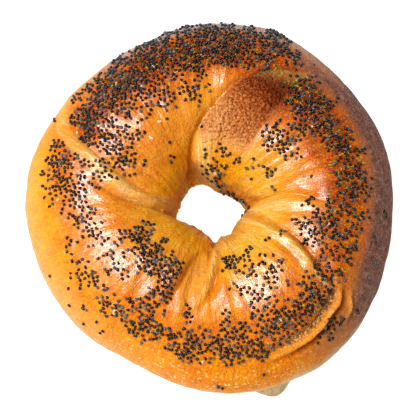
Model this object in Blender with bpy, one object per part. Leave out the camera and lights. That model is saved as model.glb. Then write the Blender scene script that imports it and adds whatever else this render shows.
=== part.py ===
"""A hand-rolled bagel, baked: one closed crust with the twist folds of its rope of dough.

The ring lies flat on its base, +Z up, with the origin under the middle of its box.
A place on the crust is told by two angles, in degrees:
  clock    round the ring, counterclockwise from +X, seen from above
  section  round the dough: 0 at the outer side, 90 on the crown, 180 in the hole, 270 below
"""
import math

import bpy
import numpy as np

MM = 0.001

# Driving sizes, in millimetres. The stations are (clock, value) round the ring.
OUTER_RADIUS = [
    (0, 54.3), (20, 55.7), (45, 56.1), (70, 58.3), (90, 57.6), (118, 54.2), (145, 53.8), (170, 54.2),
    (200, 51.9), (225, 50.5), (247, 49.6), (265, 52.0), (290, 54.6), (315, 55.6), (340, 54.1),
]
HOLE_RADIUS = [
    (15, 8.0), (64, 5.8), (110, 7.3), (139, 6.6), (184, 5.8), (228, 2.9), (268, 3.6), (300, 6.8), (335, 6.9),
]
CROWN_HEIGHT = [
    (0, 35.0), (45, 37.0), (90, 36.0), (135, 37.0), (180, 35.5), (225, 37.0), (270, 34.5), (315, 37.0),
]
WAIST_HEIGHT = 16.0
BELLY_DEPTH = 20.5
BASE_ROUNDING = 1.5
UNDERCUT = 0.75

# Where the dough spread into a thin foot on the oven shelf: (clock, half span in degrees, reach).
FEET = [(288, 34, 4.5), (291, 7, 8.0)]
FOOT_HEIGHT = 2.6

# Facets round the ring and round the dough. Facets crowd towards the crown, where the folds are.
RING_FACETS = 116
DOUGH_FACETS = 42
CROWD_TO_CROWN = 0.34

# The folds between the lobes. Each line is a few (clock, section, strength) places.
# Each ripple is (distance left of the line, height, half width) across it, in millimetres.
FOLDS = {
    "top": {
        "line": [
            (115, 205, 0.6), (114, 165, 1.0), (107, 135, 1.0), (97, 116, 0.9),
            (84, 96, 0.7), (70, 71, 0.5), (56, 54, 0.2),
        ],
        "ripples": [(0.0, -2.2, 1.7), (-4.0, 1.0, 3.2), (0.0, -1.6, 9.0)],
    },
    "left_upper": {
        "line": [(179, 150, 0.3), (172, 123, 0.9), (165, 104, 1.0), (157, 78, 1.0), (152, 52, 0.7), (142, 25, 0.3)],
        "ripples": [(0.0, -0.7, 1.8), (0.0, -0.7, 5.0)],
    },
    "left_lower": {
        "line": [(190, 205, 0.6), (189, 165, 1.0), (186, 140, 1.0), (181, 116, 0.8), (176, 96, 0.4), (170, 84, 0.1)],
        "ripples": [(0.0, -2.0, 1.6), (-3.0, 0.8, 2.4), (0.0, -1.6, 9.0)],
    },
    "bottom": {
        "line": [(283, 205, 0.6), (281, 165, 1.0), (274, 138, 1.0), (271, 116, 0.8), (266, 98, 0.6), (262, 82, 0.2)],
        "ripples": [(0.0, -1.8, 2.2), (0.0, -1.9, 8.0)],
    },
    "bottom_left": {
        "line": [(262, 128, 0.2), (254, 113, 1.0), (252, 100, 1.0), (250, 86, 0.5)],
        "ripples": [(2.0, -1.1, 1.8), (-2.0, 0.5, 2.6)],
    },
    "right_upper": {
        "line": [(365, 200, 0.5), (363, 165, 0.8), (358, 143, 1.0), (361, 118, 0.7), (359, 94, 0.3)],
        "ripples": [(0.0, -1.6, 1.6), (-2.6, 0.7, 2.0), (0.0, -1.2, 7.0)],
    },
    "right_lower": {
        "line": [(336, 190, 0.2), (332, 155, 0.6), (329, 127, 1.0), (330, 100, 1.0), (325, 78, 0.9), (324, 58, 0.5)],
        "ripples": [(1.6, -1.3, 1.7), (-2.0, 0.9, 2.2), (0.0, -1.0, 7.0)],
    },
    "torn_lip": {
        "line": [(326, 54, 0.2), (320, 52, 1.0), (312, 49, 1.0), (302, 49, 0.8), (294, 47, 0.5), (285, 43, 0.1)],
        "ripples": [(-4.0, -0.6, 2.2), (0.0, 0.9, 2.2), (4.0, -1.4, 2.4)],
    },
    "stretched_dome": {
        "line": [(46, 64, 0.4), (51, 80, 1.0), (54, 98, 1.0), (64, 116, 0.7), (74, 122, 0.3)],
        "ripples": [(0.0, -1.0, 3.0)],
    },
}
LINE_STEPS = 8
FOLDS_START = 1.5
FOLDS_FULL = 9.0

CRUST_COLOUR = (0.72, 0.27, 0.045, 1.0)
CRUST_ROUGHNESS = 0.38


def smooth_curve(knots, values, places):
    """Read a smooth curve through the values at rising knots."""
    knots = np.asarray(knots, float)
    values = np.asarray(values, float)
    slopes = np.gradient(values, knots)
    left = np.clip(np.searchsorted(knots, places, side="right") - 1, 0, len(knots) - 2)
    span = knots[left + 1] - knots[left]
    u = (places - knots[left]) / span
    start = (1 + 2 * u) * (1 - u) ** 2 * values[left] + u * (1 - u) ** 2 * span * slopes[left]
    end = u * u * (3 - 2 * u) * values[left + 1] - u * u * (1 - u) * span * slopes[left + 1]
    return start + end


def round_the_ring(stations, clock):
    """Read a closed smooth curve through (clock, value) stations at clock angles in degrees."""
    clocks = [c for c, _ in stations]
    values = [v for _, v in stations]
    knots = [c - 360 for c in clocks[-2:]] + clocks + [c + 360 for c in clocks[:2]]
    closed = values[-2:] + values + values[:2]
    return smooth_curve(knots, closed, clocks[0] + np.mod(clock - clocks[0], 360))


def hump(distance, half_width):
    """A smooth hump of height 1 at distance 0."""
    return np.exp(-(distance / half_width) ** 2)


def turn_from(clock, start):
    """Shortest turn from one clock angle to another, in degrees."""
    return np.mod(clock - start + 180, 360) - 180


def plain_ring(clock, section):
    """Points on the risen ring before its folds, and the direction out of the dough there."""
    outer = round_the_ring(OUTER_RADIUS, clock)
    hole = round_the_ring(HOLE_RADIUS, clock)
    crown = round_the_ring(CROWN_HEIGHT, clock)
    middle = (outer + hole) / 2
    half = (outer - hole) / 2
    across = np.cos(np.radians(section))
    up = np.sin(np.radians(section))
    rise = np.where(up > 0, crown - WAIST_HEIGHT, BELLY_DEPTH)
    reach = np.where(up > 0, 1.0, UNDERCUT)
    height = WAIST_HEIGHT + rise * up
    # The belly is pressed flat on the shelf, with a small rounding where it leaves it.
    pressed = (height + BASE_ROUNDING).clip(0) ** 2 / (4 * BASE_ROUNDING)
    height = np.where(height > BASE_ROUNDING, height, pressed)
    radius = middle + half * np.sign(across) * np.abs(across) ** reach
    foot = sum(reach_out * hump(turn_from(clock, at), span) for at, span, reach_out in FEET)
    radius = radius + foot * hump(height, FOOT_HEIGHT) * across.clip(0) ** reach
    out = np.stack([across / half, up / rise], axis=-1)
    out /= np.linalg.norm(out, axis=-1, keepdims=True)
    turn = np.radians(clock)
    points = np.stack([radius * np.cos(turn), radius * np.sin(turn), height], axis=-1)
    outward = np.stack([out[..., 0] * np.cos(turn), out[..., 0] * np.sin(turn), out[..., 1]], axis=-1)
    return points, outward


def fold_relief(line, ripples, points, outward):
    """How far one fold moves each crust point in or out."""
    knots = np.arange(len(line))
    places = np.linspace(0, len(line) - 1, (len(line) - 1) * LINE_STEPS + 1)
    clock, section, strength = (smooth_curve(knots, column, places) for column in zip(*line))
    path, _ = plain_ring(clock, section)
    nearest = np.full(len(points), np.inf)
    side = np.zeros(len(points))
    power = np.zeros(len(points))
    for i in range(len(path) - 1):
        step = path[i + 1] - path[i]
        along = (((points - path[i]) @ step) / (step @ step)).clip(0, 1)
        gap = points - path[i] - along[:, None] * step
        distance = np.linalg.norm(gap, axis=1)
        closer = distance < nearest
        left = np.einsum("ij,ij->i", np.cross(outward, step), gap)
        nearest = np.where(closer, distance, nearest)
        side = np.where(closer, np.sign(left) * distance, side)
        power = np.where(closer, strength[i] + along * (strength[i + 1] - strength[i]), power)
    return power * sum(height * hump(side - offset, width) for offset, height, width in ripples)


def shape_crust(mesh):
    """Turn a plain torus mesh into the risen, folded ring."""
    flat = np.empty(len(mesh.vertices) * 3)
    mesh.vertices.foreach_get("co", flat)
    x, y, z = flat.reshape(-1, 3).T
    torus_radius = (np.hypot(x, y).max() + np.hypot(x, y).min()) / 2
    clock = np.degrees(np.arctan2(y, x))
    even = np.arctan2(z, np.hypot(x, y) - torus_radius)
    section = np.degrees(even + CROWD_TO_CROWN * np.cos(even))
    points, outward = plain_ring(clock, section)
    relief = sum(fold_relief(fold["line"], fold["ripples"], points, outward) for fold in FOLDS.values())
    # The folds fade out towards the base, which stays flat.
    height = points[:, 2]
    fade = ((height - FOLDS_START) / (FOLDS_FULL - FOLDS_START)).clip(0, 1)
    points = points + (relief * fade)[:, None] * outward
    middle = (points.max(axis=0) + points.min(axis=0)) / 2
    points[:, :2] -= middle[:2]
    mesh.vertices.foreach_set("co", (points * MM).ravel())
    mesh.update()


def crust_material():
    """Baked, egg-washed crust."""
    material = bpy.data.materials.new("baked_crust")
    material.use_nodes = True
    shader = material.node_tree.nodes["Principled BSDF"]
    shader.inputs["Base Color"].default_value = CRUST_COLOUR
    shader.inputs["Roughness"].default_value = CRUST_ROUGHNESS
    shader.inputs["Metallic"].default_value = 0.0
    return material


def make_bagel(collection):
    """The whole bagel, as one closed piece."""
    bpy.ops.mesh.primitive_torus_add(
        major_segments=RING_FACETS, minor_segments=DOUGH_FACETS, major_radius=32 * MM, minor_radius=22 * MM)
    bagel = bpy.context.object
    bagel.name = "bagel"
    bagel.data.name = "bagel"
    for holder in list(bagel.users_collection):
        holder.objects.unlink(bagel)
    collection.objects.link(bagel)
    shape_crust(bagel.data)
    bagel.data.materials.append(crust_material())
    bagel.data.shade_smooth()


for old in list(bpy.data.objects):
    bpy.data.objects.remove(old, do_unlink=True)
bagel_collection = bpy.data.collections.new("bagel")
bpy.context.scene.collection.children.link(bagel_collection)
make_bagel(bagel_collection)
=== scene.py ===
"""A hand-rolled poppy-seed bagel lying on a pale surface, in its own frame."""
import math

import bmesh
import bpy
import numpy as np
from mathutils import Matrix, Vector, noise


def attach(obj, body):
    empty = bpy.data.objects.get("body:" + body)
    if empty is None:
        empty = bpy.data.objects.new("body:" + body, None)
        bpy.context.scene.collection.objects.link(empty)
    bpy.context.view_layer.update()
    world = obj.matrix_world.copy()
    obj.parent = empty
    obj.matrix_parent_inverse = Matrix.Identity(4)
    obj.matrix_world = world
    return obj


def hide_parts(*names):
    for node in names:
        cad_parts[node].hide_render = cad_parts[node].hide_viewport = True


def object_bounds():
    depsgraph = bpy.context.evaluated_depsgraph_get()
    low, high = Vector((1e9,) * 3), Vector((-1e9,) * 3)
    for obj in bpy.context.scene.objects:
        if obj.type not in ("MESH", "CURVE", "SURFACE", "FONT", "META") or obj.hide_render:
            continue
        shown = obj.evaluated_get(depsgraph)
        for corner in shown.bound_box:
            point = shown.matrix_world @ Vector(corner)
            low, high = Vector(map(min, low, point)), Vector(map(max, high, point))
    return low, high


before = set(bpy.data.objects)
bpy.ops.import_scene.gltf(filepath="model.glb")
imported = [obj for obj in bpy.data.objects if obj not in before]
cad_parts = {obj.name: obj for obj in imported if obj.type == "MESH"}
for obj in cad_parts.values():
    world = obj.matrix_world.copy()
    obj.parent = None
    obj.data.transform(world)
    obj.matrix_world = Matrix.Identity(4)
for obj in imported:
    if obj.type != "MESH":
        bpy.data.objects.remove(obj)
frame_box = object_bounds()

# ---------------------------------------------------------------------------------------
# The baked crust.
# One rope of dough, twisted as it was rolled and joined into a ring, boiled, egg-washed and
# baked on a flat shelf. Its turns rise into lobes, and meet in folds that run from the hole
# outwards. A place on it is told by two angles in degrees: clock, round the ring from +X,
# and section, round the dough (0 outer side, 90 crown, 180 hole). Sizes are in millimetres.
# ---------------------------------------------------------------------------------------
MM = 0.001
# The ring's measures are (clock, millimetres) stations.
OUTER_RADIUS = [
    (0, 54.3), (20, 55.7), (45, 56.1), (70, 58.3), (90, 57.6), (118, 54.2), (145, 53.8), (170, 54.2),
    (200, 51.9), (225, 50.5), (247, 49.6), (265, 52.0), (290, 54.6), (315, 55.6), (340, 54.1),
]
HOLE_RADIUS = [
    (15, 8.0), (64, 5.8), (110, 7.3), (139, 6.6), (184, 5.8), (228, 2.9), (268, 3.6), (300, 6.8),
    (335, 6.9),
]
CROWN_HEIGHT = [
    (0, 35.0), (45, 37.0), (90, 36.0), (135, 37.0), (180, 35.5), (225, 37.0), (270, 34.5), (315, 37.0),
]
WAIST_HEIGHT = 16.0
BELLY_DEPTH = 20.5
BASE_ROUNDING = 1.5
UNDERCUT = 0.75
# Where the dough spread on the shelf: (clock, clock half span, reach).
FEET = [(288, 34, 4.5), (291, 7, 8.0)]
FOOT_HEIGHT = 2.6
SEAM_HALF_WIDTH = 4.0
RING_MIDDLE = 32.0
DOUGH_RADIUS = 22.0
RELIEF_STARTS = 1.5
RELIEF_FULL = 9.0

# The folds: a line of (clock, section, strength) places from the hole outwards, and ripples
# of (distance left of the line, height, half width) across it.
FOLDS = {
    "top": (
        [(115, 205, 0.6), (114, 165, 1.0), (107, 135, 1.0), (97, 116, 0.9),
         (84, 96, 0.7), (70, 71, 0.5), (56, 54, 0.2)],
        [(0.0, -1.0, 0.8), (0.2, -1.3, 2.2), (-3.8, 1.0, 2.8), (0.0, -1.6, 9.0)]),
    "left_upper": (
        [(179, 150, 0.3), (172, 123, 0.9), (165, 104, 1.0), (157, 78, 1.0), (152, 52, 0.7), (142, 25, 0.3)],
        [(0.0, -0.5, 0.9), (1.6, 0.3, 1.2), (0.0, -0.7, 5.0)]),
    "left_lower": (
        [(190, 205, 0.6), (189, 165, 1.0), (186, 140, 1.0), (181, 116, 0.8), (176, 96, 0.4),
         (170, 84, 0.1)],
        [(0.0, -1.1, 0.8), (0.3, -1.0, 1.9), (-2.6, 0.9, 1.8), (0.0, -1.6, 9.0)]),
    "bottom": (
        [(283, 205, 0.6), (281, 165, 1.0), (274, 138, 1.0), (271, 120, 0.7), (267, 104, 0.2)],
        [(0.0, -1.2, 0.9), (0.0, -0.8, 2.4), (2.2, 0.7, 1.3), (0.0, -1.9, 8.0)]),
    "bottom_left": (
        [(262, 128, 0.2), (254, 113, 1.0), (252, 100, 1.0), (250, 88, 0.7), (249, 78, 0.1)],
        [(0.6, -1.0, 0.9), (2.2, -0.7, 2.2), (-2.4, 0.6, 2.4)]),
    "bottom_right": (
        [(283, 146, 0.4), (279, 121, 1.0), (276, 108, 1.0), (272, 96, 0.9), (266, 82, 0.3)],
        [(0.4, -0.7, 0.9), (-1.8, 0.6, 1.2), (3.0, 0.4, 2.2)]),
    "gusset": (
        [(262, 116, 0.2), (260, 106, 1.0), (258, 94, 0.9), (258, 80, 0.2)],
        [(0.0, -0.6, 0.8), (-2.2, 0.4, 1.2)]),
    "right_upper": (
        [(368, 200, 0.5), (368, 168, 0.9), (364, 140, 1.0), (365, 120, 0.8), (363, 104, 0.6),
         (359, 88, 0.3)],
        [(0.2, -1.0, 0.8), (0.4, -0.8, 1.8), (-2.2, 0.8, 1.3), (0.0, -1.2, 7.0)]),
    "right_lower": (
        [(350, 190, 0.2), (346, 158, 0.8), (341, 132, 1.0), (337, 112, 1.0), (333, 95, 1.0), (328, 80, 0.9),
         (325, 64, 0.5)],
        [(0.7, -1.0, 0.8), (1.8, -0.6, 1.8), (-1.6, 0.9, 1.5), (0.0, -1.0, 7.0)]),
    "torn_lip": (
        [(326, 55, 0.2), (323, 52, 1.0), (316, 49, 1.0), (308, 46, 1.0), (301, 45, 0.8), (294, 44, 0.4),
         (286, 42, 0.1)],
        [(-4.2, 0.4, 0.8), (-2.2, -1.0, 1.2), (0.0, 1.2, 0.7), (2.0, -1.7, 1.1)]),
    "second_lip": (
        [(327, 46, 0.3), (324, 42, 1.0), (322, 38, 0.9), (318, 34, 0.2)],
        [(0.0, 0.9, 0.8), (1.8, -0.5, 1.0)]),
    "stretched_dome": (
        [(46, 64, 0.4), (51, 80, 1.0), (54, 98, 1.0), (64, 116, 0.7), (74, 122, 0.3)],
        [(0.0, -0.8, 2.4)]),
    "hole_corner_top": (
        [(106, 230, 0.3), (106, 195, 1.0), (106, 168, 0.8), (104, 146, 0.1)],
        [(0.0, -2.0, 3.0)]),
    "hole_corner_left": (
        [(183, 230, 0.3), (183, 195, 1.0), (184, 168, 0.8), (185, 146, 0.1)],
        [(0.0, -2.2, 2.6)]),
    "hole_corner_right": (
        [(370, 230, 0.3), (370, 195, 1.0), (370, 168, 0.8), (366, 146, 0.1)],
        [(0.0, -1.4, 2.6)]),
    "thin_edge": (
        [(198, 62, 0.2), (208, 52, 1.0), (216, 45, 1.0), (226, 40, 0.8), (236, 36, 0.1)],
        [(-0.9, 0.4, 0.9), (0.6, -0.4, 0.8)]),
}
LINE_STEPS = 8

# Fine relief of the skin: (height, width, length along the dough) of lumps and of the
# wrinkles that were drawn out when the rope was twisted.
SKIN_RELIEF = [(0.45, 7.0, 7.0), (0.22, 3.0, 5.0), (0.12, 1.7, 8.0)]
SEAM_WRINKLES = 1.8


def smooth_curve(knots, values, places):
    """Read a smooth curve through the values at rising knots."""
    knots = np.asarray(knots, float)
    values = np.asarray(values, float)
    slopes = np.gradient(values, knots)
    left = np.clip(np.searchsorted(knots, places, side="right") - 1, 0, len(knots) - 2)
    span = knots[left + 1] - knots[left]
    u = (places - knots[left]) / span
    start = (1 + 2 * u) * (1 - u) ** 2 * values[left] + u * (1 - u) ** 2 * span * slopes[left]
    end = u * u * (3 - 2 * u) * values[left + 1] - u * u * (1 - u) * span * slopes[left + 1]
    return start + end


def round_the_ring(stations, clock):
    """Read a closed smooth curve through (clock, value) stations at clock angles in degrees."""
    clocks = [c for c, _ in stations]
    values = [v for _, v in stations]
    knots = [c - 360 for c in clocks[-2:]] + clocks + [c + 360 for c in clocks[:2]]
    closed = values[-2:] + values + values[:2]
    return smooth_curve(knots, closed, clocks[0] + np.mod(clock - clocks[0], 360))


def hump(distance, half_width):
    """A smooth hump of height 1 at distance 0."""
    return np.exp(-(distance / half_width) ** 2)


def between(value, start, end, edge):
    """1 between two values, falling softly to 0 at both."""
    return ((value - start) / edge).clip(0, 1) * ((end - value) / edge).clip(0, 1)


def turn_from(clock, start):
    """Shortest turn from one clock angle to another, in degrees."""
    return np.mod(clock - start + 180, 360) - 180


def plain_ring(clock, section):
    """Points on the risen ring before its folds, and the direction out of the dough there."""
    outer = round_the_ring(OUTER_RADIUS, clock)
    hole = round_the_ring(HOLE_RADIUS, clock)
    crown = round_the_ring(CROWN_HEIGHT, clock)
    middle = (outer + hole) / 2
    half = (outer - hole) / 2
    across = np.cos(np.radians(section))
    up = np.sin(np.radians(section))
    rise = np.where(up > 0, crown - WAIST_HEIGHT, BELLY_DEPTH)
    reach = np.where(up > 0, 1.0, UNDERCUT)
    height = WAIST_HEIGHT + rise * up
    pressed = (height + BASE_ROUNDING).clip(0) ** 2 / (4 * BASE_ROUNDING)
    height = np.where(height > BASE_ROUNDING, height, pressed)
    radius = middle + half * np.sign(across) * np.abs(across) ** reach
    foot = sum(reach_out * hump(turn_from(clock, at), span) for at, span, reach_out in FEET)
    radius = radius + foot * hump(height, FOOT_HEIGHT) * across.clip(0) ** reach
    out = np.stack([across / half, up / rise], axis=-1)
    out /= np.linalg.norm(out, axis=-1, keepdims=True)
    turn = np.radians(clock)
    points = np.stack([radius * np.cos(turn), radius * np.sin(turn), height], axis=-1)
    outward = np.stack([out[..., 0] * np.cos(turn), out[..., 0] * np.sin(turn), out[..., 1]], axis=-1)
    return points, outward


def beside_fold(line, points, outward):
    """Distance left of a fold's line, and the fold's strength, at each crust point."""
    knots = np.arange(len(line))
    places = np.linspace(0, len(line) - 1, (len(line) - 1) * LINE_STEPS + 1)
    clock, section, strength = (smooth_curve(knots, column, places) for column in zip(*line))
    path, _ = plain_ring(clock, section)
    nearest = np.full(len(points), np.inf)
    side = np.zeros(len(points))
    power = np.zeros(len(points))
    for i in range(len(path) - 1):
        step = path[i + 1] - path[i]
        along = (((points - path[i]) @ step) / (step @ step)).clip(0, 1)
        gap = points - path[i] - along[:, None] * step
        distance = np.linalg.norm(gap, axis=1)
        closer = distance < nearest
        left = np.einsum("ij,ij->i", np.cross(outward, step), gap)
        nearest = np.where(closer, distance, nearest)
        side = np.where(closer, np.sign(left) * distance, side)
        power = np.where(closer, strength[i] + along * (strength[i + 1] - strength[i]), power)
    return side, power


def dough_place(clock, section):
    """Where a crust place lay on the rope of dough, as a point whose distances are true."""
    turn = np.radians(clock)
    round_dough = DOUGH_RADIUS * np.radians(section)
    return np.stack([RING_MIDDLE * np.cos(turn), RING_MIDDLE * np.sin(turn), round_dough], axis=-1)


def crust_at(clock, section):
    """Crust points, and each fold's side distance and strength there."""
    points, outward = plain_ring(clock, section)
    beside = {name: beside_fold(line, points, outward) for name, (line, _) in FOLDS.items()}
    relief = sum(
        power * sum(height * hump(side - offset, width) for offset, height, width in FOLDS[name][1])
        for name, (side, power) in beside.items())
    in_seam = np.maximum.reduce([power * hump(side, SEAM_HALF_WIDTH) for side, power in beside.values()])
    rope = dough_place(clock, section)
    for height, width, length in SKIN_RELIEF:
        drawn = rope / (width, width, length)
        lumps = np.array([noise.noise(place) for place in drawn.tolist()])
        relief = relief + height * lumps * (1 + SEAM_WRINKLES * in_seam * (length > width))
    fade = ((points[:, 2] - RELIEF_STARTS) / (RELIEF_FULL - RELIEF_STARTS)).clip(0, 1)
    return points + (relief * fade)[:, None] * outward, beside


RING_CELLS = 140
DOUGH_CELLS = 42
CELL_CUTS = 3
CROWD_TO_CROWN = 0.3

bpy.ops.mesh.primitive_torus_add(
    major_segments=RING_CELLS, minor_segments=DOUGH_CELLS,
    major_radius=RING_MIDDLE * MM, minor_radius=DOUGH_RADIUS * MM)
crust = bpy.context.object
crust.name = "baked_crust"
ring_mesh = bmesh.new()
ring_mesh.from_mesh(crust.data)
bmesh.ops.subdivide_edges(ring_mesh, edges=ring_mesh.edges[:], cuts=CELL_CUTS, use_grid_fill=True)
ring_mesh.to_mesh(crust.data)
ring_mesh.free()

flat = np.empty(len(crust.data.vertices) * 3)
crust.data.vertices.foreach_get("co", flat)
x, y, z = flat.reshape(-1, 3).T
crust_clock = np.degrees(np.arctan2(y, x))
even = np.arctan2(z, np.hypot(x, y) - RING_MIDDLE * MM)
crust_section = np.mod(np.degrees(even + CROWD_TO_CROWN * np.cos(even)) + 90, 360) - 90
points, beside = crust_at(crust_clock, crust_section)

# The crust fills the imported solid's box, less the height of a seed lying on it.
SEED_ROOM = 0.1
SEED_ROOM_ON_TOP = 0.72
low = np.array(frame_box[0]) / MM + (SEED_ROOM, SEED_ROOM, 0)
high = np.array(frame_box[1]) / MM - (SEED_ROOM, SEED_ROOM, SEED_ROOM_ON_TOP)
crust_low = points.min(axis=0)
crust_stretch = (high - low) / (points.max(axis=0) - crust_low)


def in_frame(places):
    """Crust places in millimetres, set into the frame's box, in metres."""
    return (low + (places - crust_low) * crust_stretch) * MM


crust.data.vertices.foreach_set("co", in_frame(points).ravel())
crust.data.update()
crust.data.shade_smooth()

# How brown the oven turned the crust, from 0 butter yellow to 1 scorched: by section all
# round, and in patches of (clock, section, clock half span, section half span, change). A few
# patches are painted light rather than browning: the right shoulder is painted darker, as
# shade, and the left wall lighter, as lit.
BROWN_BY_SECTION = [
    (-90, 0.40), (-20, 0.44), (10, 0.47), (35, 0.50), (60, 0.56), (75, 0.54), (90, 0.49),
    (105, 0.42), (120, 0.34), (140, 0.30), (160, 0.34), (185, 0.40), (230, 0.45), (270, 0.40),
]
BROWNING_AND_LIGHT_PATCHES = [
    (105, 60, 50, 19, 0.34), (25, 74, 36, 20, 0.28), (58, 72, 14, 16, 0.14), (345, 72, 18, 16, 0.12),
    (312, 66, 22, 12, 0.08), (247, 92, 6, 12, 0.14), (152, 66, 12, 14, 0.10), (140, 122, 36, 20, 0.10),
    (75, 138, 16, 18, 0.06), (5, 138, 34, 24, -0.12), (315, 132, 36, 24, -0.14), (180, 106, 10, 10, 0.08),
    (225, 128, 30, 20, -0.04), (200, 22, 45, 26, -0.12), (262, 24, 34, 24, 0.00), (175, 35, 22, 26, -0.10),
    (215, 62, 22, 12, -0.08), (262, 85, 12, 16, -0.04), (54, 88, 10, 24, 0.07), (86, 104, 10, 24, -0.16),
]
browning_and_painted_light = np.interp(crust_section, *zip(*BROWN_BY_SECTION))
for at, over, clock_span, section_span, change in BROWNING_AND_LIGHT_PATCHES:
    round_ring = hump(turn_from(crust_clock, at), clock_span)
    browning_and_painted_light += change * round_ring * hump(crust_section - over, section_span)


def band(name, start, end, edge):
    """1 between two side distances of a fold's line, with soft edges, times its strength."""
    side, power = beside[name]
    return power * between(side, start, end, edge)


def patch(clock, section, clock_span, section_span):
    """A soft round patch of the crust, 1 in its middle."""
    return hump(turn_from(crust_clock, clock), clock_span) * hump(crust_section - section, section_span)


# The foot stayed pale up to this height, highest at the front right where it spread. The
# stations are (turn from the foot's clock, millimetres), and the edge waves up and down.
FOOT_CLOCK = 288
PALE_HEIGHT = [(-75, 3), (-50, 15), (-30, 18), (0, 20), (14, 23), (32, 23), (50, 3)]
PALE_WAVE = 2.0
FOOT_FADE = 9.0
pale_to = np.interp(turn_from(crust_clock, FOOT_CLOCK), *zip(*PALE_HEIGHT))
wave = PALE_WAVE * np.sin(np.radians(crust_clock * 19)) * np.sin(np.radians(crust_clock * 7))
pale_to = pale_to + wave

# The painted shade on the right and back walls ends in wavy edges, and fades out towards the shelf.
WALL_FADES_FROM = 3
WALL_FADES_OVER = 14
wavy_clock = (
    crust_clock
    + 7 * np.sin(np.radians(crust_section * 5))
    + 4 * np.sin(np.radians(crust_section * 13)))
above_shelf = ((points[:, 2] - WALL_FADES_FROM) / WALL_FADES_OVER).clip(0, 1)

# What the oven and the hands left where, and where light and shade are painted, from 0 to 1 at each place
# of the crust.
paint = {
    "browning_and_painted_light": browning_and_painted_light,
    # Bands beside the seams painted paler: in part dough that was stretched thin and shielded in the seams,
    # paler than the egg-washed tops, and in part a painted highlight on the ridges of the two right-hand
    # folds.
    "pale_seam_and_painted_highlight": np.maximum.reduce([
        1.0 * band("top", -5.4, -0.2, 1.4),
        0.8 * band("left_upper", -0.6, 5.0, 1.5),
        0.8 * band("left_lower", -3.4, -0.2, 1.2),
        0.4 * band("bottom", 0.6, 3.8, 1.0),
        0.3 * band("bottom_left", 1.2, 7.5, 1.5),
        0.9 * band("bottom_right", -2.4, -0.4, 0.8),
        0.9 * band("right_upper", -4.0, -0.4, 1.2),
        1.0 * band("right_lower", -2.6, -0.2, 1.0),
    ]),
    # Creases where two turns of the rope press together, painted dark: painted shade in the folds and in
    # the groove outside the torn lip.
    "crease_painted_shade": np.maximum.reduce([
        0.9 * band("top", -0.4, 1.6, 0.7),
        0.6 * band("left_upper", -0.8, 0.6, 0.6),
        0.7 * band("left_lower", -0.5, 1.4, 0.7),
        0.8 * band("bottom", -0.9, 0.9, 0.7),
        0.9 * band("bottom_left", -0.6, 1.4, 0.8),
        0.7 * band("bottom_right", -0.3, 1.2, 0.6),
        0.5 * band("gusset", -0.6, 0.8, 0.6),
        0.6 * band("right_upper", -0.3, 1.4, 0.7),
        0.7 * band("right_lower", -0.1, 1.8, 0.7),
        0.8 * band("torn_lip", 1.0, 3.6, 1.0),
        0.5 * band("thin_edge", -0.1, 1.1, 0.5),
    ]),
    # The dome beside the top fold: skin stretched dull and pebbled as it rose.
    "dome": between(turn_from(crust_clock, 70), -20, 30, 5) * between(crust_section, 60, 134, 18)
    * ((0.4 - beside["top"][0]) / 1.2).clip(0, 1),
    # Crumb torn open along the lip, and the lip's own egg-washed edge.
    "torn": band("torn_lip", -4.2, -0.7, 0.7),
    "lip": np.maximum(band("torn_lip", -1.0, 1.0, 0.5), band("second_lip", -0.9, 0.9, 0.5)),
    # The lower walls, painted as lit on the left (lighter) and as in painted shade on the right (darker);
    # the right one is also duller.
    "painted_lit_wall": np.maximum(patch(200, 4, 48, 30), 0.4 * patch(150, 20, 22, 20)),
    "right_wall_painted_shade": between(turn_from(wavy_clock, 5), -64, 70, 32)
    * between(crust_section, -60, 57, 14) * above_shelf,
    # The wall at the back, painted greyish and darker: painted shade with a painted grey sheen of reflected
    # light.
    "back_wall_painted_shade": between(turn_from(wavy_clock, 92), -48, 56, 40)
    * between(crust_section, -60, 44, 14) * above_shelf,
    # The walls of the hole, which the heat reached last.
    "hole_wall": between(crust_section, 152, 262, 26) * (1 - 0.5 * patch(30, 180, 60, 60)),
    # Small blisters of the boiled skin, on the tops.
    "blistered": np.maximum.reduce([
        patch(150, 98, 16, 14), patch(186, 84, 12, 16), patch(214, 80, 16, 14),
        0.7 * patch(300, 94, 22, 14)]),
    # Pale blisters where the wall steamed above the shelf, at the front.
    "steam_spots": patch(268, 22, 34, 20),
    # The pale foot, and the underside that lay on the shelf.
    "foot": ((pale_to - points[:, 2]) / FOOT_FADE).clip(0, 1) * (crust_section < 90),
    "underside": (RELIEF_STARTS - points[:, 2]) / RELIEF_STARTS,
    # Egg wash lies thickest on the crown and none of it reached the walls. It soaked into
    # some patches, which are duller.
    "egg_wash": between(crust_section, 50, 142, 30)
    * (1 - 0.7 * patch(95, 84, 9, 12)) * (1 - 0.6 * patch(13, 78, 22, 24))
    * (1 - 0.8 * patch(264, 84, 16, 18)) * (1 - 0.4 * patch(282, 90, 8, 14)),
}
for name, values in paint.items():
    crust.data.attributes.new(name, "FLOAT", "POINT").data.foreach_set(
        "value", values.clip(0, 1).astype(np.float32))
crust.data.attributes.new("dough_place", "FLOAT_VECTOR", "POINT").data.foreach_set(
    "vector", (dough_place(crust_clock, crust_section) * MM).astype(np.float32).ravel())


def linear(hex_colour):
    """An sRGB hex colour as the linear colour that a shader takes."""
    channels = [int(hex_colour[i:i + 2], 16) / 255 for i in (1, 3, 5)]
    return [c / 12.92 if c <= 0.04045 else ((c + 0.055) / 1.055) ** 2.4 for c in channels] + [1.0]


def per_mm(size_mm):
    """Texture scale whose features are about this wide."""
    return 1 / (size_mm * MM)


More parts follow.
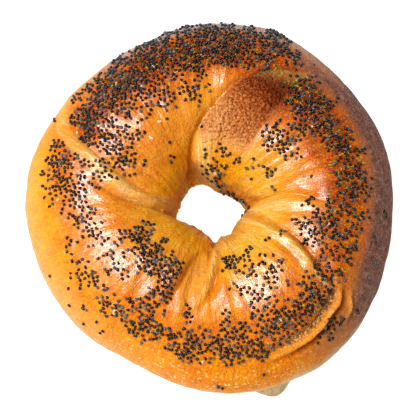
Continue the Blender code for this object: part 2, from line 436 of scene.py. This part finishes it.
def add_node(material, kind, inputs, stops=(), **settings):
    """Add a shader node with its settings, its ramp stops, and values or links for its inputs."""
    node = material.node_tree.nodes.new("ShaderNode" + kind)
    for name, value in settings.items():
        setattr(node, name, value)
    for place, colour in stops:
        node.color_ramp.elements.new(place).color = linear(colour)
    if stops:
        node.color_ramp.elements.remove(node.color_ramp.elements[0])
        node.color_ramp.elements.remove(node.color_ramp.elements[-1])
    for name, value in inputs.items():
        if isinstance(value, bpy.types.Node):
            value = value.outputs[0]
        if isinstance(value, bpy.types.NodeSocket):
            material.node_tree.links.new(value, node.inputs[name])
        else:
            node.inputs[name].default_value = value
    return node


# Egg-washed crust: thin, soft gloss over a colour that runs from butter yellow through orange
# to red-brown where the oven caught it. Seams and the foot stay pale, and the dome and the right
# wall are dull. Painted light is mixed into the colour too: the left wall is painted lighter, as
# lit, the right and back walls darker and greyer, as painted shade, shade is painted into the
# creases, a highlight onto some seam ridges, and glints as golden flecks. Pattern sizes are real
# ones, but for grain, wrinkles, pebbles and spots: they are finer on a real crust, and drawn
# coarser here so that they show.
DRAWN_OUT = 0.2
baked = bpy.data.materials.new("egg_washed_crust")
baked.use_nodes = True
mark = {name: add_node(baked, "Attribute", {}, attribute_name=name).outputs["Fac"] for name in paint}
place = add_node(baked, "TexCoord", {}).outputs["Object"]
rope = add_node(baked, "Attribute", {}, attribute_name="dough_place").outputs["Vector"]
drawn = add_node(baked, "VectorMath", {0: rope, 1: (1.0, 1.0, DRAWN_OUT)}, operation="MULTIPLY")
blotch = add_node(baked, "TexNoise", {"Vector": place, "Scale": per_mm(6), "Detail": 3.0})
mottle = add_node(
    baked, "TexNoise", {"Vector": place, "Scale": per_mm(1.8), "Detail": 4.0, "Roughness": 0.65})
streaks = add_node(
    baked, "TexNoise", {"Vector": drawn, "Scale": per_mm(1.1), "Detail": 3.0, "Roughness": 0.6})
grain = add_node(
    baked, "TexNoise", {"Vector": place, "Scale": per_mm(0.6), "Detail": 2.0, "Roughness": 0.6})
wrinkles = add_node(
    baked, "TexNoise", {"Vector": drawn, "Scale": per_mm(0.5), "Detail": 2.0, "Roughness": 0.6})
pebbles = add_node(baked, "TexVoronoi", {"Vector": place, "Scale": per_mm(0.9)})
spots = add_node(baked, "TexVoronoi", {"Vector": place, "Scale": per_mm(1.5)})

# The patterns push the browning up and down, each by its own amount.
brown = mark["browning_and_painted_light"]
for pattern, amount in (
        (blotch, 0.35), (mottle, 0.40), (streaks, 0.35), (grain, 1.20), (wrinkles, 0.90)):
    centred = add_node(baked, "Math", {0: pattern, 1: -0.5}, operation="ADD")
    brown = add_node(baked, "Math", {0: centred, 1: amount, 2: brown}, operation="MULTIPLY_ADD")
colour = add_node(baked, "ValToRGB", {"Fac": brown}, stops=[
    (0.02, "#FFD080"), (0.16, "#FFBC16"), (0.32, "#FFA20A"), (0.46, "#FC8A06"), (0.58, "#EC6806"),
    (0.70, "#BC4406"), (0.84, "#802A06"), (0.98, "#481808")])
# Fine flecks: golden ones, in part grain and in part painted glints where the skin stands up, and brown
# ones in its pores.
fine = add_node(baked, "Mix", {0: 0.5, 2: grain, 3: wrinkles}).outputs[0]
fleck = add_node(baked, "MapRange", {"Value": fine, "From Min": 0.52, "From Max": 0.62, "To Max": 0.75})
colour = add_node(baked, "Mix", {0: fleck, 6: colour, 7: linear("#FFBE2C")}, data_type="RGBA").outputs[2]
fleck = add_node(baked, "MapRange", {"Value": fine, "From Min": 0.47, "From Max": 0.38, "To Max": 0.50})
colour = add_node(baked, "Mix", {0: fleck, 6: colour, 7: linear("#B84804")}, data_type="RGBA").outputs[2]
# Each marked zone covers that colour with its own, all or in part.
ramps = {
    "painted_lit_wall": [(0.30, "#E08C44"), (0.50, "#F0A862"), (0.70, "#FFC88E")],
    "right_wall_painted_shade": [(0.34, "#5A382C"), (0.50, "#865A4A"), (0.66, "#B48674")],
    "back_wall_painted_shade": [(0.34, "#806860"), (0.50, "#B49C92"), (0.66, "#DCC8BE")],
    "hole_wall": [(0.34, "#C07C10"), (0.50, "#E4A028"), (0.66, "#F8CC58")],
    "pale_seam_and_painted_highlight": [(0.34, "#EE9828"), (0.50, "#FFC65C"), (0.64, "#FFEAB0")],
    "dome": [(0.22, "#F8AC66"), (0.46, "#CE7438"), (0.68, "#9A441C"), (0.88, "#64260E")],
    "torn": [(0.34, "#7A4418"), (0.50, "#C88438"), (0.62, "#FCC47C")],
    "lip": [(0.35, "#F08C24"), (0.65, "#FFB450")],
    "crease_painted_shade": [(0.35, "#8A3C08"), (0.65, "#C06414")],
    "foot": [(0.30, "#DCAC68"), (0.50, "#F4D4A0"), (0.70, "#FFF2D4")],
    "underside": [(0.35, "#B87A38"), (0.65, "#D89C58")],
}
part_of = {"pale_seam_and_painted_highlight": 0.8, "painted_lit_wall": 0.9, "crease_painted_shade": 0.6, "hole_wall": 0.85}
dome_tone = add_node(baked, "Math", {0: mark["browning_and_painted_light"], 1: -0.5}, operation="ADD")
dome_tone = add_node(baked, "Math", {0: grain, 1: 1.1, 2: dome_tone}, operation="MULTIPLY_ADD")
brindle = add_node(baked, "Mix", {0: 0.5, 2: mottle, 3: grain}).outputs[0]
drawn_out = add_node(baked, "Mix", {0: 0.5, 2: streaks, 3: wrinkles}).outputs[0]
patterns = {
    "dome": dome_tone, "pale_seam_and_painted_highlight": drawn_out, "lip": drawn_out, "torn": grain,
    "right_wall_painted_shade": brindle, "back_wall_painted_shade": brindle}
for name, stops in ramps.items():
    own = add_node(baked, "ValToRGB", {"Fac": patterns.get(name, mottle)}, stops=stops)
    amount = add_node(baked, "Math", {0: mark[name], 1: part_of.get(name, 1.0)}, operation="MULTIPLY")
    colour = add_node(baked, "Mix", {0: amount, 6: colour, 7: own}, data_type="RGBA").outputs[2]
# Blisters of the boiled skin: red-brown on the tops, pale on the steamed front wall.
spot = add_node(baked, "MapRange", {"Value": spots, "From Min": 0.34, "From Max": 0.18})
spot = add_node(baked, "Math", {0: spot, 1: mark["blistered"]}, operation="MULTIPLY")
colour = add_node(baked, "Mix", {0: spot, 6: colour, 7: linear("#D0581A")}, data_type="RGBA").outputs[2]
pale = add_node(baked, "MapRange", {"Value": spots, "From Min": 0.34, "From Max": 0.16})
pale = add_node(baked, "Math", {0: pale, 1: mark["steam_spots"]}, operation="MULTIPLY")
colour = add_node(baked, "Mix", {0: pale, 6: colour, 7: linear("#FFD888")}, data_type="RGBA").outputs[2]

# Where the skin is dull, and how rough it is there.
EVEN_ROUGHNESS = 0.26
DULL_ROUGHNESS = 0.32
MOTTLED_ROUGHNESS = 0.16
dull = mark["dome"]
for name, amount in (
        ("pale_seam_and_painted_highlight", 0.4), ("torn", 1.0), ("foot", 1.0),
        ("right_wall_painted_shade", 0.6), ("crease_painted_shade", 0.6), ("hole_wall", 1.0)):
    part = add_node(baked, "Math", {0: mark[name], 1: amount}, operation="MULTIPLY")
    dull = add_node(baked, "Math", {0: dull, 1: part}, operation="MAXIMUM")
sheen = add_node(
    baked, "Math", {0: dull, 1: DULL_ROUGHNESS, 2: EVEN_ROUGHNESS}, operation="MULTIPLY_ADD")
sheen = add_node(
    baked, "Math", {0: mottle, 1: MOTTLED_ROUGHNESS, 2: sheen}, operation="MULTIPLY_ADD")

# Relief too fine for the mesh, as shares of the skin's depth. The dome and the torn crumb are
# pebbled as well.
SKIN_DEPTH = 1.3
rough = add_node(baked, "Math", {0: mark["dome"], 1: mark["torn"]}, operation="MAXIMUM")
pebbled = add_node(baked, "Math", {0: pebbles, 1: rough}, operation="MULTIPLY")
height = add_node(baked, "Math", {0: grain, 1: 0.40}, operation="MULTIPLY")
for pattern, share in (
        (wrinkles, 0.30), (streaks, 0.35), (mottle, 0.45), (spot, 0.10), (pebbled, -0.9)):
    height = add_node(baked, "Math", {0: pattern, 1: share, 2: height}, operation="MULTIPLY_ADD")
relief = add_node(baked, "Bump", {"Height": height, "Distance": SKIN_DEPTH * MM, "Strength": 1.0})

# The dried egg wash: a gloss broken by the grain, lying smoother than the skin under it.
WASH_DEPTH = 0.5
uneven = add_node(baked, "Math", {0: grain, 1: wrinkles}, operation="ADD")
uneven = add_node(baked, "MapRange", {"Value": uneven, "From Min": 0.80, "From Max": 1.12, "To Min": 0.25})
wash = add_node(baked, "Math", {0: 1.0, 1: dull}, operation="SUBTRACT")
wash = add_node(baked, "Math", {0: wash, 1: mark["egg_wash"]}, operation="MULTIPLY")
wash = add_node(baked, "Math", {0: wash, 1: uneven}, operation="MULTIPLY")
wash_height = add_node(baked, "Math", {0: mottle, 1: 0.3}, operation="MULTIPLY")
for pattern, share in ((wrinkles, 0.08), (grain, 0.06), (spot, 0.2)):
    wash_height = add_node(
        baked, "Math", {0: pattern, 1: share, 2: wash_height}, operation="MULTIPLY_ADD")
wash_relief = add_node(
    baked, "Bump", {"Height": wash_height, "Distance": WASH_DEPTH * MM, "Strength": 1.0})

shader = baked.node_tree.nodes["Principled BSDF"]
for name, socket in {
    "Base Color": colour, "Roughness": sheen.outputs[0], "Normal": relief.outputs[0],
    "Coat Weight": wash.outputs[0], "Coat Normal": wash_relief.outputs[0],
}.items():
    baked.node_tree.links.new(socket, shader.inputs[name])
shader.inputs["Specular IOR Level"].default_value = 0.20
shader.inputs["Coat Roughness"].default_value = 0.24
shader.inputs["Coat IOR"].default_value = 1.9
shader.inputs["IOR"].default_value = 1.12
crust.data.materials.clear()
crust.data.materials.append(baked)
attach(crust, "root")
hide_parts("bagel")

# ---------------------------------------------------------------------------------------
# Poppy seeds.
# Small kidney-shaped seeds, black and slate, about a millimetre long. The boiled ring was
# pressed into them by hand, so they cling in clumps and patches, and stray between them.
# ---------------------------------------------------------------------------------------
SEED_LENGTH = 1.10
SEED_WIDTH = 0.96
SEED_THICKNESS = 0.82
SEED_SPACING = 0.84
SEED_SIZE_SPREAD = 0.08
SEED_SUNK = 0.14
SEED_TILT = 0.15
SLATE_SHARE = 0.25
KIDNEY_BEND = 0.06
KIDNEY_HOLLOW = 0.14
HOLLOW_HALF_WIDTH = 0.22

# How seeds fall in a patch: half of them beside another one, the rest thinning outwards.
CLUMPED = 0.5
CLUMP_GAP = 1.05
GAP_SPREAD = 0.5
THINNING = 0.55
STRAYING = 0.3
TRIES_PER_SEED = 12
# Each patch is (clock, section, clock half span, section half span, how many seeds).
SEED_PATCHES = [
    (103, 48, 42, 15, 480), (104, 60, 44, 8, 170), (108, 64, 42, 9, 90), (130, 62, 24, 14, 100),
    (80, 48, 20, 12, 80), (150, 62, 8, 12, 40), (98, 90, 8, 8, 24), (114, 90, 6, 8, 18),
    (153, 97, 7, 10, 36), (128, 84, 26, 10, 34), (132, 114, 34, 16, 8), (18, 68, 26, 14, 140),
    (40, 76, 12, 12, 60), (38, 102, 11, 8, 50), (5, 62, 14, 12, 30), (72, 140, 16, 12, 26),
    (30, 124, 20, 14, 14), (72, 166, 22, 12, 12), (88, 142, 12, 16, 9), (35, 186, 30, 6, 26),
    (172, 66, 16, 15, 90), (190, 72, 12, 12, 34), (160, 86, 8, 9, 12), (165, 50, 12, 10, 24),
    (213, 104, 8, 6, 50), (227, 98, 9, 7, 64), (242, 96, 6, 8, 46), (212, 80, 11, 9, 30),
    (216, 56, 15, 8, 54), (262, 54, 30, 9, 160), (280, 60, 22, 11, 90), (244, 58, 12, 10, 40),
    (289, 119, 6, 4, 20), (302, 106, 20, 14, 50), (298, 80, 18, 11, 50), (318, 72, 13, 11, 80),
    (305, 64, 16, 8, 50), (342, 86, 9, 16, 74), (345, 62, 16, 10, 34), (356, 84, 10, 20, 14),
    (315, 118, 14, 8, 6), (313, 40, 6, 3, 30), (222, 30, 20, 10, 10), (145, 32, 14, 8, 8),
    (350, 38, 20, 12, 8), (290, 22, 28, 12, 6), (100, 30, 34, 8, 40),
]
# Skin that stretched after the seeds were on: (clock, section, clock reach, section reach).
BARE_OF_SEEDS = [
    (70, 96, 17, 22), (83, 112, 10, 12), (62, 66, 4, 10), (107, 150, 4, 20), (253, 92, 3, 30),
    (158, 68, 2.5, 12), (153, 52, 3, 10), (147, 36, 4, 8),
    (321, 56, 4, 4), (313, 54, 5, 5), (304, 51, 5, 4), (297, 48, 3, 3)]
draw = np.random.default_rng(7)


def scattered(patches, spacing):
    """Clock and section angles of seeds in clumps and patches, none closer than the spacing."""
    kept = []
    kept_points = []
    for at, over, clock_span, section_span, count in patches:
        own = []
        for _ in range(count * TRIES_PER_SEED):
            if len(own) == count:
                break
            if own and draw.random() < CLUMPED:
                clock, section = own[draw.integers(len(own))]
                step = CLUMP_GAP * (1 + GAP_SPREAD * draw.random())
                way = draw.random() * 2 * np.pi
                from_axis = RING_MIDDLE + DOUGH_RADIUS * np.cos(np.radians(section))
                clock += np.degrees(step * np.cos(way) / from_axis)
                section += np.degrees(step * np.sin(way) / DOUGH_RADIUS)
            else:
                spread = draw.random() ** THINNING * (1 + STRAYING * draw.standard_normal())
                way = draw.random() * 2 * np.pi
                clock = at + clock_span * spread * np.cos(way)
                section = over + section_span * spread * np.sin(way)
            bare = any(
                abs(turn_from(clock, c)) < clock_reach and abs(section - s) < section_reach
                for c, s, clock_reach, section_reach in BARE_OF_SEEDS)
            point = plain_ring(np.array([clock]), np.array([section]))[0][0]
            crowded = kept_points and np.min(
                np.linalg.norm(np.array(kept_points) - point, axis=1)) < spacing
            if not bare and not crowded:
                own.append((clock, section))
                kept_points.append(point)
        kept += own
    return np.array(kept).T


def laid_on_crust(name, shape, faces, sizes, clock, section, sunk, tilt):
    """Copies of one small shape, each turned its own way on the crust, joined into one mesh."""
    step = 0.4
    spots, east, north = (
        in_frame(crust_at(c, s)[0])
        for c, s in ((clock, section), (clock + step, section), (clock, section + step)))
    out = np.cross(east - spots, north - spots)
    out /= np.linalg.norm(out, axis=1, keepdims=True)
    count = len(spots)
    out = out + tilt * draw.standard_normal((count, 3))
    out /= np.linalg.norm(out, axis=1, keepdims=True)
    ahead = np.cross(out, draw.standard_normal((count, 3)))
    ahead /= np.linalg.norm(ahead, axis=1, keepdims=True)
    axes = np.stack([ahead, np.cross(out, ahead), out], axis=1)
    lift = (0.5 - sunk) * sizes[:, 2] * MM
    laid = np.einsum("spk,skx->spx", shape[None] * sizes[:, None] * MM, axes)
    laid += (spots + out * lift[:, None])[:, None]
    triangles = faces[None] + (np.arange(count) * len(shape))[:, None, None]
    mesh = bpy.data.meshes.new(name)
    mesh.from_pydata(laid.reshape(-1, 3).tolist(), [], triangles.reshape(-1, 3).tolist())
    mesh.shade_smooth()
    piece = bpy.data.objects.new(name, mesh)
    bpy.context.collection.objects.link(piece)
    return piece


def ball_shape(subdivisions):
    """A ball 1 across, as points and triangles."""
    ball = bmesh.new()
    bmesh.ops.create_icosphere(ball, subdivisions=subdivisions, radius=0.5)
    shape = np.array([v.co[:] for v in ball.verts])
    faces = np.array([[v.index for v in f.verts] for f in ball.faces])
    ball.free()
    return shape, faces


seed_points, seed_faces = ball_shape(2)
bend = KIDNEY_BEND * (4 * seed_points[:, 0] ** 2 - 0.5)
hollow = KIDNEY_HOLLOW * hump(seed_points[:, 0], HOLLOW_HALF_WIDTH) * (seed_points[:, 1] > 0)
seed_points[:, 1] += bend - hollow
seed_clock, seed_section = scattered(SEED_PATCHES, SEED_SPACING)
slate = draw.random(len(seed_clock)) < SLATE_SHARE
for name, chosen, dark, light in (
        ("poppy_seeds_black", ~slate, "#020202", "#0E0D0E"),
        ("poppy_seeds_slate", slate, "#222224", "#64666A")):
    unlike = 1 + SEED_SIZE_SPREAD * draw.standard_normal((int(chosen.sum()), 3))
    sizes = np.array([SEED_LENGTH, SEED_WIDTH, SEED_THICKNESS]) * unlike
    seeds = laid_on_crust(
        name, seed_points, seed_faces, sizes, seed_clock[chosen], seed_section[chosen],
        SEED_SUNK, SEED_TILT)
    # Poppy seed coat: hard and netted, dark but for a small glint. The net is finer on a real
    # seed, and drawn coarser here so that it shows.
    coat = bpy.data.materials.new(name + "_coat")
    coat.use_nodes = True
    where = add_node(coat, "TexCoord", {}).outputs["Object"]
    shade = add_node(coat, "TexNoise", {"Vector": where, "Scale": per_mm(1.4), "Detail": 1.0})
    tint = add_node(coat, "ValToRGB", {"Fac": shade}, stops=[(0.35, dark), (0.65, light)])
    net = add_node(coat, "TexVoronoi", {"Vector": where, "Scale": per_mm(0.22)})
    pitted = add_node(coat, "Bump", {"Height": net, "Distance": 0.03 * MM, "Strength": 0.6})
    surface = coat.node_tree.nodes["Principled BSDF"]
    coat.node_tree.links.new(tint.outputs[0], surface.inputs["Base Color"])
    coat.node_tree.links.new(pitted.outputs[0], surface.inputs["Normal"])
    surface.inputs["Roughness"].default_value = 0.20
    surface.inputs["IOR"].default_value = 1.5
    seeds.data.materials.append(coat)
    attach(seeds, "root")

# ---------------------------------------------------------------------------------------
# Flakes of dry dough.
# Thin cream shards that came off the board or the seeds, and stuck to the wet ring with
# them. Each is an uneven, slightly bent chip one or two millimetres long.
# ---------------------------------------------------------------------------------------
# Each place is (clock, section, length, width).
FLAKE_PLACES = [
    (133, 106, 1.5, 0.7), (122, 101, 1.6, 0.8), (161, 84, 1.8, 0.7), (139, 96, 0.9, 0.8),
    (78, 152, 1.5, 0.8),
    (231, 52, 1.9, 1.2), (112, 62, 1.3, 0.8), (92, 66, 1.4, 0.7), (152, 58, 1.2, 0.6), (120, 72, 1.1, 0.7),
    (104, 74, 1.2, 0.5), (268, 44, 1.3, 0.7), (180, 58, 1.0, 0.6), (35, 80, 1.0, 0.6), (300, 68, 1.0, 0.7),
    (348, 80, 0.9, 0.6), (21, 62, 0.8, 0.7), (146, 72, 1.0, 0.6), (128, 58, 1.1, 0.8), (170, 74, 1.2, 0.5),
]
FLAKE_THICKNESS = 0.34
FLAKE_BEND = 0.35
FLAKE_TAPER = 0.7
FLAKE_UNEVENNESS = 0.14
FLAKE_TILT = 0.25
flake_points, flake_faces = ball_shape(2)
flake_points[:, 2] += FLAKE_BEND * flake_points[:, 0] ** 2
flake_points[:, 1] *= 1 - FLAKE_TAPER * (flake_points[:, 0] > 0.1) * flake_points[:, 0]
flake_points *= 1 + FLAKE_UNEVENNESS * draw.standard_normal((len(flake_points), 1))
flake_clock, flake_section, flake_length, flake_width = np.array(FLAKE_PLACES).T
flake_sizes = np.stack([flake_length, flake_width, np.full(len(flake_length), FLAKE_THICKNESS)], axis=1)
flakes = laid_on_crust(
    "dough_flakes", flake_points, flake_faces, flake_sizes, flake_clock, flake_section,
    0.0, FLAKE_TILT)
flakes.data.shade_flat()
# Dry dough: pale, chalky and without gloss.
dry = bpy.data.materials.new("dry_dough")
dry.use_nodes = True
where = add_node(dry, "TexCoord", {}).outputs["Object"]
shade = add_node(dry, "TexNoise", {"Vector": where, "Scale": per_mm(1.0), "Detail": 2.0})
tint = add_node(dry, "ValToRGB", {"Fac": shade}, stops=[(0.35, "#E8B878"), (0.65, "#FFEFCC")])
surface = dry.node_tree.nodes["Principled BSDF"]
dry.node_tree.links.new(tint.outputs[0], surface.inputs["Base Color"])
surface.inputs["Roughness"].default_value = 0.7
flakes.data.materials.append(dry)
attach(flakes, "root")

# ---------------------------------------------------------------------------------------
# The surface, the light and the camera.
# A white table that glows like a lit one, a broad soft lamp overhead to the left, a window at
# the left, and a weak reflector at the front. The camera looks down from the front.
# ---------------------------------------------------------------------------------------
TABLE_SIZE = 3.0
TABLE_BELOW = 0.0002
TABLE_GLOW = 0.95
STUDIO_GLOW = 0.20
bpy.ops.mesh.primitive_plane_add(size=TABLE_SIZE, location=(0, 0, -TABLE_BELOW))
table = bpy.context.object
table.name = "table_top"
# White painted board: matt, and bright enough to leave no grey shadow.
table_white = bpy.data.materials.new("white_painted_board")
table_white.use_nodes = True
table_shader = table_white.node_tree.nodes["Principled BSDF"]
table_shader.inputs["Base Color"].default_value = (0.5, 0.5, 0.5, 1)
table_shader.inputs["Roughness"].default_value = 0.9
table_shader.inputs["Emission Color"].default_value = (1, 1, 1, 1)
table_shader.inputs["Emission Strength"].default_value = TABLE_GLOW
table.data.materials.append(table_white)

scene = bpy.context.scene
scene.view_settings.view_transform = "Standard"
world = bpy.data.worlds.new("studio")
world.use_nodes = True
world.node_tree.nodes["Background"].inputs["Color"].default_value = (1, 1, 1, 1)
world.node_tree.nodes["Background"].inputs["Strength"].default_value = STUDIO_GLOW
scene.world = world


def soft_lamp(name, direction, distance, size, power):
    """A square soft lamp, facing the bagel from a direction."""
    lamp = bpy.data.lights.new(name, "AREA")
    lamp.size = size
    lamp.energy = power
    holder = bpy.data.objects.new(name, lamp)
    holder.location = Vector(direction).normalized() * distance
    holder.rotation_euler = (-holder.location).to_track_quat("-Z", "Y").to_euler()
    bpy.context.collection.objects.link(holder)


soft_lamp("overhead_softbox", direction=(-0.34, 0.09, 0.93), distance=0.8, size=0.36, power=6.1)
soft_lamp("window", direction=(-0.80, -0.25, 0.56), distance=0.8, size=0.40, power=2.0)
soft_lamp("reflector", direction=(0.15, -0.85, 0.50), distance=0.8, size=0.50, power=0.6)

VIEW_RISE = math.radians(78)
LENS = 120.0
SENSOR = 36.0
VIEW_WIDTH = 0.1232
aim = Vector((0.00015, -0.0017, 0.016))
camera_data = bpy.data.cameras.new("camera")
camera_data.lens = LENS
camera_data.sensor_width = SENSOR
camera = bpy.data.objects.new("camera", camera_data)
away = Vector((0, -math.cos(VIEW_RISE), math.sin(VIEW_RISE)))
camera.location = aim + away * (VIEW_WIDTH * LENS / SENSOR)
camera.rotation_euler = (-away).to_track_quat("-Z", "Y").to_euler()
bpy.context.collection.objects.link(camera)
scene.camera = camera
